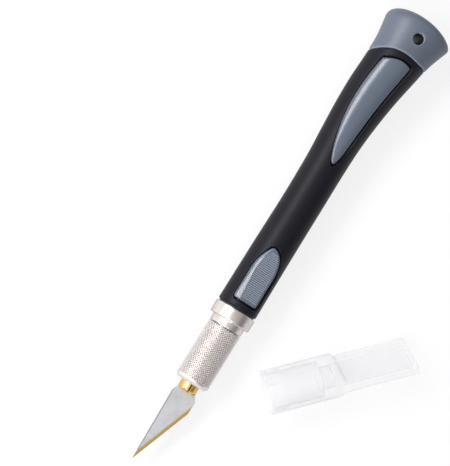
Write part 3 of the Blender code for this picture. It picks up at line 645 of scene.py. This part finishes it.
satin_plastic, shader, point, grey = grey_plastic("satin_plastic", 0.42)
hole_middle = knife @ Vector((hole_place, section(hole_place)[0], 0))
from_hole = point.away(hole_middle, knife.col[2].to_3d())
# A pale ring on the hole's lip is a painted highlight, and the near-black wall inside the hole is
# painted shade.
lip_highlight = 1 - from_hole.ramp(HOLE_RADIUS + 0.3 * HOLE_LIP, HOLE_RADIUS + 0.9 * HOLE_LIP)
bore_shade = 1 - from_hole.ramp(HOLE_RADIUS, HOLE_RADIUS + 0.3 * HOLE_LIP)
painted_highlight = (point.painted("painted_highlight") + 0.5 * lip_highlight).blend(grey, (0.26, 0.29, 0.35, 1))
dress(shader, base_color=bore_shade.blend(painted_highlight, (0.006, 0.006, 0.008, 1)))
add_piece("flared_end", end_piece, satin_plastic, "handle", "end_cap")


# Collar washer: a thin black nylon ring, punched from sheet and trapped between flange and grip.
# Only its edge shows, as the dark line behind the flange.

black_nylon, shader, point = new_finish("black_nylon")
punched = point.noise(5000)
dress(
    shader,
    base_color=punched.blend((0.008, 0.008, 0.009, 1), (0.020, 0.020, 0.022, 1)),
    roughness=0.45 + 0.2 * punched,
)
paint_node("collar_washer", black_nylon)


# Collar: one piece of aluminium turned from bar, with a flange against the grip and a short plain neck.
# Its threaded nose carries the sleeve and seats the collet, and its shank screws into the core's bush.


def lathe(profile, eased=(), ease=0.0003, sides=144):
    """Rings turned about the chuck's axis from (x, radius) corners, with the eased ones rounded."""
    corners = np.array(profile)
    rows = []
    for i, corner in enumerate(corners):
        if i not in eased:
            rows.append(corner)
            continue
        before, after = corners[i - 1] - corner, corners[(i + 1) % len(corners)] - corner
        start = corner + before / np.linalg.norm(before) * ease
        end = corner + after / np.linalg.norm(after) * ease
        for t in np.linspace(0, 1, 6):
            rows.append((1 - t) ** 2 * start + 2 * t * (1 - t) * corner + t * t * end)
    x, radius = np.array(rows).T[..., None]
    angle = np.linspace(0, 2 * np.pi, sides, endpoint=False)
    return np.stack(np.broadcast_arrays(x, radius * np.cos(angle), radius * np.sin(angle)), -1)


aluminium = turned_metal("aluminium", (0.87, 0.815, 0.795, 1), (0.77, 0.72, 0.705, 1), 0.26)[0]
collar_profile = (
    (-0.0080, 0.0026),
    (-0.0150, 0.0026),
    (-0.0161, 0.0037765),
    (-0.0161, 0.0040),
    (-0.0071, 0.0040),
    (-0.0071, 0.00555),
    (-0.0047, 0.00555),
    (-0.0047, 0.0069),
    (-0.0006, 0.0069),
    (-0.0006, 0.0030),
    (0.0114, 0.0030),
)
collar = to_mesh("turned_collar", *skin(lathe(collar_profile, (5, 6, 7, 8), 0.00035)), knife)
add_piece("turned_collar", collar, aluminium, "handle", "collar")


# Collet: a brass double cone turned from bar and slit both ways into four jaws that spring open.
# The sleeve squeezes it on the collar's seat, and the blade's tang lies in its level slit.

SLITS_FROM, SLITS_TO, SLIT_REACH = -0.0331, -0.0138, 0.0076
LEVEL_SLIT, UPRIGHT_SLIT = 0.00037, 0.000225


def slab(y, z):
    """A cutter along the chuck's axis, from before the collet to the end of its slits."""
    corners = ((-y, -z), (y, -z), (y, z), (-y, z))
    rings = np.array([[(x, *corner) for corner in corners] for x in (SLITS_FROM, SLITS_TO)])
    return to_mesh("slit", *skin(rings), knife)


collet_profile = (
    (-0.0303, 0.0025),
    (-0.0297, 0.0031),
    (-0.0255, 0.0031),
    (-0.0210, 0.0038),
    (-0.0184, 0.0038),
    (-0.0150, 0.0024),
    (-0.0090, 0.0024),
)
collet = to_mesh("brass_collet", *skin(lathe(collet_profile, (1,), 0.0002, 96)), knife)
collet = carved(collet, slab(SLIT_REACH, LEVEL_SLIT), slab(UPRIGHT_SLIT, SLIT_REACH))
add_piece("brass_collet", collet, brass, "collet_body", "collet")


# Chuck sleeve: an aluminium nut with a rolled diamond knurl and a plain chamfered nose.
# It screws on the collar's nose, and the cone inside it draws the collet back on its seat.
# The grooves of the knurl are painted darker as painted shade, and its studs are bright.

SLEEVE_RADIUS, SLEEVE_FRONT, SLEEVE_REAR = 0.00565, -0.0275, -0.00735
NOSE_LENGTH, NOSE_CHAMFER, NOSE_BORE = 0.0016, 0.0009, 0.0033
CONE_FRONT, CONE_REAR, THREAD_BORE, REAR_CHAMFER = -0.0259, -0.0210, 0.0042, 0.00015
KNURL_COUNT, KNURL_PITCH, KNURL_DEPTH, KNURL_RUN_OUT, STUD_TOP = 36, 0.000825, 0.00018, 0.0003, 0.35

root = SLEEVE_RADIUS - KNURL_DEPTH
nose_end = SLEEVE_FRONT + NOSE_LENGTH
sleeve_profile = (
    (SLEEVE_FRONT, NOSE_BORE),
    (SLEEVE_FRONT, SLEEVE_RADIUS - NOSE_CHAMFER),
    (SLEEVE_FRONT + NOSE_CHAMFER, SLEEVE_RADIUS),
    (nose_end, SLEEVE_RADIUS),
    (nose_end + KNURL_RUN_OUT, root),
    (SLEEVE_REAR - REAR_CHAMFER, root),
    (SLEEVE_REAR, root - REAR_CHAMFER),
    (SLEEVE_REAR, THREAD_BORE),
    (CONE_REAR, THREAD_BORE),
    (CONE_FRONT, NOSE_BORE),
)
knurled_aluminium, shader, point, metal = turned_metal(
    "knurled_aluminium", (0.93, 0.875, 0.855, 1), (0.85, 0.795, 0.775, 1), 0.40
)
behind_nose = point.along(knife.translation, -forward).ramp(nose_end, nose_end + KNURL_RUN_OUT)
# Darker colour down in the knurl's grooves: painted shade.
groove_shade = (1 - point.away(axis_point, forward).ramp(root, root + 0.7 * KNURL_DEPTH)) * behind_nose
dress(shader, base_color=groove_shade.blend(metal, (0.50, 0.465, 0.45, 1)))
sleeve = to_mesh("knurled_sleeve", *skin(lathe(sleeve_profile, (1, 2)), True), knife)
knurl_x = np.arange(nose_end + 0.55 * KNURL_PITCH, SLEEVE_REAR - 0.4 * KNURL_PITCH, KNURL_PITCH / 2)
row, column = (grid.ravel() for grid in np.indices((len(knurl_x), KNURL_COUNT)))
knurl_angle = (column + 0.5 * (row % 2)) * 2 * np.pi / KNURL_COUNT
blank = np.zeros_like(knurl_angle)
knurl_spots = np.stack([knurl_x[row], root * np.cos(knurl_angle), root * np.sin(knurl_angle)], -1)
knurl_turns = np.stack([knurl_angle - np.pi / 2, blank, blank], -1)
stud_width = np.pi * SLEEVE_RADIUS / KNURL_COUNT
knurl_stretch = np.stack([blank + 0.5 * KNURL_PITCH / stud_width, blank + 1, blank + 1], -1)
stud_sizes = {"Radius Bottom": stud_width, "Radius Top": STUD_TOP * stud_width, "Depth": KNURL_DEPTH}
knurl_layout = (knurl_spots, knurl_turns, knurl_stretch)
knurl = repeat(*knurl_layout, "GeometryNodeMeshCone", 4, stud_sizes, knurled_aluminium)
joined(sleeve, knurl, knife, 20)
add_piece("knurled_sleeve", sleeve, knurled_aluminium, "sleeve_body", "chuck_sleeve")


# Blade: carbon steel strip, blanked, hardened and ground, with a gold-coloured coating along its bevel.
# Its tang is gripped in the collet's level slit, so it pulls straight out once the sleeve is slackened.
# The back edge is left as it was blanked, and a thin band along it is painted dark as painted shade.

COATED_WIDTH, COATING_FADE, COATING_WANDER = 0.00112, 0.00012, 0.00008
BACK_DARK_TO, BACK_BRIGHT_FROM = 0.0001, 0.0003

tip, heel = Vector((-0.0568, 0.0033, 0)), Vector((-0.0361, -0.0044, 0))
back_end = Vector((-0.0318, 0.0039, 0))
edge_run, back_run = (heel - tip).normalized(), (back_end - tip).normalized()
edge_inward, back_inward = Vector((-edge_run.y, edge_run.x, 0)), Vector((back_run.y, -back_run.x, 0))

blade_steel, shader, point = new_finish("blade_steel")
from_edge = point.along(knife @ tip, knife.to_3x3() @ edge_inward)
from_back = point.along(knife @ tip, knife.to_3x3() @ back_inward)
ground = point.along(knife @ tip, knife.to_3x3() @ edge_run).streaks(11000.0, 4.0)
handled = point.noise(260, 4, 0.6)
bevel = 1 - (from_edge + COATING_WANDER * handled).ramp(COATED_WIDTH, COATED_WIDTH + COATING_FADE)
steel = handled.ramp(0.3, 0.8).blend((0.70, 0.70, 0.725, 1), (0.58, 0.585, 0.615, 1))
# A dark band along the back edge: painted shade of its unlit side.
steel = (1 - from_back.ramp(BACK_DARK_TO, BACK_BRIGHT_FROM)).blend(steel, (0.30, 0.30, 0.32, 1))
gold = ground.blend((0.60, 0.42, 0.14, 1), (0.76, 0.56, 0.22, 1))
dress(
    shader,
    base_color=bevel.blend(steel, gold),
    metallic=1.0,
    roughness=0.58 + 0.12 * ground + 0.08 * handled,
    normal=ground.bump(0.000002),
)
paint_node("blade", blade_steel)


# Safety cap: clear polystyrene moulded in one shot, a round tube that runs down to a flat sheath.
# Ribs in its counterbored mouth hold it on the sleeve.
# Here it is off, and lies on its tube and on one edge of the sheath.

CAP_TURN, CAP_ROLL = math.radians(-44.6), math.radians(53.819)
CAP_FORWARD, CAP_ASIDE = 0.0176, 0.0220
CAP_BORE, CAP_RADIUS, CAP_SIDES = 0.00585, 0.0072, 144
MOUTH_STEP, MOUTH_RIBS, MOUTH_RIB_SHARE, LIP_HALF, LIP_RISE = 0.0005, 8, 0.11, 0.000425, 0.0002
NOSE_POCKET, SLOT_HALF, SLOT_HEIGHT, SLOT_SQUARENESS = 0.0037, 0.0052, 0.0006, 6
TUBE_END, SHOULDER_RUN = 0.0222, 0.0032
SHEATH_HALF, SHEATH_HEIGHT, SHEATH_SQUARENESS = 0.00775, 0.0016, 9
SHEATH_END, END_ROUND = 0.0484, 0.00025

cap_angle = np.linspace(0, 2 * np.pi, CAP_SIDES, endpoint=False)


def cap_ring(x, half_width, half_height, squareness=2.0):
    c, s = np.cos(cap_angle), np.sin(cap_angle)
    y = half_width * np.sign(c) * np.abs(c) ** (2 / squareness)
    z = half_height * np.sign(s) * np.abs(s) ** (2 / squareness)
    return np.stack([0 * y + x, y, z], -1)


def cap_mouth_ring(x, rise):
    """The counterbore of the mouth, drawn in to the bore at each of its ribs."""
    from_rib = np.abs(cap_angle * (MOUTH_RIBS / 2) / np.pi % 1 - 0.5)
    crest = np.sqrt(np.clip(1 - from_rib / MOUTH_RIB_SHARE, 0, 1))
    radius = CAP_BORE + MOUTH_STEP * (1 - rise * crest)
    return np.stack([0 * radius + x, radius * np.cos(cap_angle), radius * np.sin(cap_angle)], -1)


def cap_rings():
    """Rings from the end of the blade's slot to the mouth, over its lip and back to the flat end."""
    rings = [cap_ring(x, SLOT_HALF, SLOT_HEIGHT, SLOT_SQUARENESS) for x in (0.0473, 0.02185)]
    rings += [cap_ring(x, NOSE_POCKET, NOSE_POCKET) for x in (0.0216, 0.0210, 0.01785)]
    rings += [cap_ring(x, CAP_BORE, CAP_BORE) for x in (0.0176, 0.0120, 0.00575)]
    rings += [cap_mouth_ring(x, 1) for x in (0.0055, 0.0040, 0.0022)]
    rings += [cap_mouth_ring(0.0014, 0.8), cap_mouth_ring(0.0009, 0)]
    for turn in np.linspace(0, np.pi, 9):
        radius = CAP_BORE + MOUTH_STEP + LIP_HALF * (1 - np.cos(turn))
        rings.append(cap_ring(LIP_RISE - LIP_RISE * np.sin(turn), radius, radius))
    rings += [cap_ring(x, CAP_RADIUS, CAP_RADIUS) for x in (0.006, 0.012, 0.018)]
    tube = cap_ring(0, CAP_RADIUS, CAP_RADIUS)
    sheath = cap_ring(0, SHEATH_HALF, SHEATH_HEIGHT, SHEATH_SQUARENESS)
    for share in np.linspace(0, 1, 17):
        ring = tube + (sheath - tube) * share * share * (3 - 2 * share)
        rings.append(ring + (TUBE_END + SHOULDER_RUN * share, 0, 0))
    rings += [sheath + (x, 0, 0) for x in (0.032, 0.040)]
    for turn in np.linspace(0, np.pi / 2, 6):
        back = END_ROUND * (1 - np.cos(turn))
        x = SHEATH_END - END_ROUND * (1 - np.sin(turn))
        rings.append(cap_ring(x, SHEATH_HALF - back, SHEATH_HEIGHT - back, SHEATH_SQUARENESS))
    return np.stack(rings)


cap_place = Matrix.Rotation(CAP_TURN, 4, "Z") @ Matrix.Rotation(-CAP_ROLL, 4, "X")
front_end = knife.translation
cap_place.translation = front_end.x - CAP_FORWARD, front_end.y - CAP_ASIDE, CAP_RADIUS
clear_plastic, shader, point = new_finish("clear_plastic")
scuffs = point.noise(900, 4, 0.65)
facing = point.node("ShaderNodeLayerWeight", {"Blend": 0.5}, None, "Facing")
dress(
    shader,
    base_color=scuffs.blend((0.78, 0.78, 0.82, 1), (0.88, 0.88, 0.91, 1)),
    roughness=0.04 + 0.10 * scuffs.ramp(0.45, 0.8),
    alpha=0.15 + 0.55 * (facing * facing * facing),
    ior=1.55,
)
clear_cover = to_mesh("clear_cover", *skin(cap_rings()), cap_place)
add_piece("clear_cover", clear_cover, clear_plastic, "cap_body", "safety_cap")


# Table, light and camera: a white board with a low round backdrop, a long strip lamp on the spine side,
# a weaker one on the tip's side, and a room that is pale overhead and low down on the belly side.
# The camera stands almost straight above, turned so that the blade points down to the left.

BOARD_PROFILE = ((2.6, 0), (2.8, 0.05), (2.95, 0.2), (3.0, 0.4), (3.0, 0.7))
LAMP_DISTANCE = 1.1

reach, rise = np.array(BOARD_PROFILE).T[..., None]
around = np.linspace(0, 2 * np.pi, 96, endpoint=False)
board_rings = np.broadcast_arrays(reach * np.cos(around), reach * np.sin(around), rise)
points, faces = skin(np.stack(board_rings, -1))
table_mesh = to_mesh("table", points, faces[:-1], Matrix())
table = bpy.data.objects.new("table", table_mesh)
bpy.context.collection.objects.link(table)
white_board, shader, point = new_finish("white_board")
fibre = point.noise(60, 3)
dress(shader, base_color=fibre.blend((0.90, 0.90, 0.905, 1), (0.93, 0.93, 0.935, 1)), roughness=0.7)
rays = point.node("ShaderNodeLightPath", {}).socket.node.outputs
seen = Wire(rays["Is Camera Ray"]) + Wire(rays["Is Glossy Ray"]) + Wire(rays["Is Transmission Ray"])
glow = point.node("ShaderNodeEmission", {"Color": (1, 1, 1, 1), "Strength": 1.0})
board = point.node("ShaderNodeMixShader", {0: 0.8 * seen, 1: Wire(shader.outputs[0]), 2: glow})
Wire.put(board, white_board.node_tree.nodes["Material Output"].inputs["Surface"])
table_mesh.materials.append(white_board)

room = bpy.data.worlds.new("room")
room.use_nodes = True
direction = Wire(room.node_tree.nodes.new("ShaderNodeTexCoord").outputs["Generated"])
height = direction.along((0, 0, 0), Vector((0, -0.2, 1)).normalized())
belly_side = direction.along((0, 0, 0), Vector((0, -1, 0))).ramp(-0.4, 0.6)
low_down = (1 - height.ramp(0.3, 0.7)) * belly_side
pale = 0.08 + 0.36 * height.ramp(0.72, 0.98) + 0.45 * low_down
Wire.put(pale, room.node_tree.nodes["Background"].inputs["Strength"])
Wire.put((1, 1, 1, 1), room.node_tree.nodes["Background"].inputs["Color"])
bpy.context.scene.world = room

for name, toward, long, wide, power in (
    ("strip_lamp", Vector((0.0, 0.74, 0.67)).normalized(), 0.9, 0.3, 12.0),
    ("tip_lamp", Vector((-0.6, 0.2, 0.77)).normalized(), 1.0, 0.35, 6.0),
):
    lamp = bpy.data.lights.new(name, "AREA")
    lamp.shape, lamp.size, lamp.size_y, lamp.energy = "RECTANGLE", long, wide, power
    lamp_stand = bpy.data.objects.new(name, lamp)
    bpy.context.collection.objects.link(lamp_stand)
    lamp_stand.location = LAMP_DISTANCE * toward
    lamp_stand.rotation_euler = (-toward).to_track_quat("-Z", "Y").to_euler()

ROLL, TILT, PITCH = math.radians(58.2), math.radians(9.5), math.radians(4.0)
AIM, DISTANCE, SPAN = Vector((0.0180, 0.01582, 0)), 0.6, 0.145625
back = Vector((-math.sin(PITCH), math.cos(PITCH) * math.sin(TILT), math.cos(PITCH) * math.cos(TILT)))
level = (Vector((1, 0, 0)) - back * back.x).normalized()
across = level.cross(back)
right = level * math.cos(ROLL) + across * math.sin(ROLL)
top = level * math.sin(ROLL) - across * math.cos(ROLL)
lens = bpy.data.cameras.new("camera")
lens.sensor_width, lens.lens, lens.clip_end = 36, 36 * DISTANCE / SPAN, 100
camera = bpy.data.objects.new("camera", lens)
bpy.context.collection.objects.link(camera)
tripod = Matrix((right, top, back)).transposed().to_4x4()
tripod.translation = AIM + back * DISTANCE
camera.matrix_world = knife @ tripod
bpy.context.scene.camera = camera
bpy.context.scene.view_settings.view_transform = "Standard"
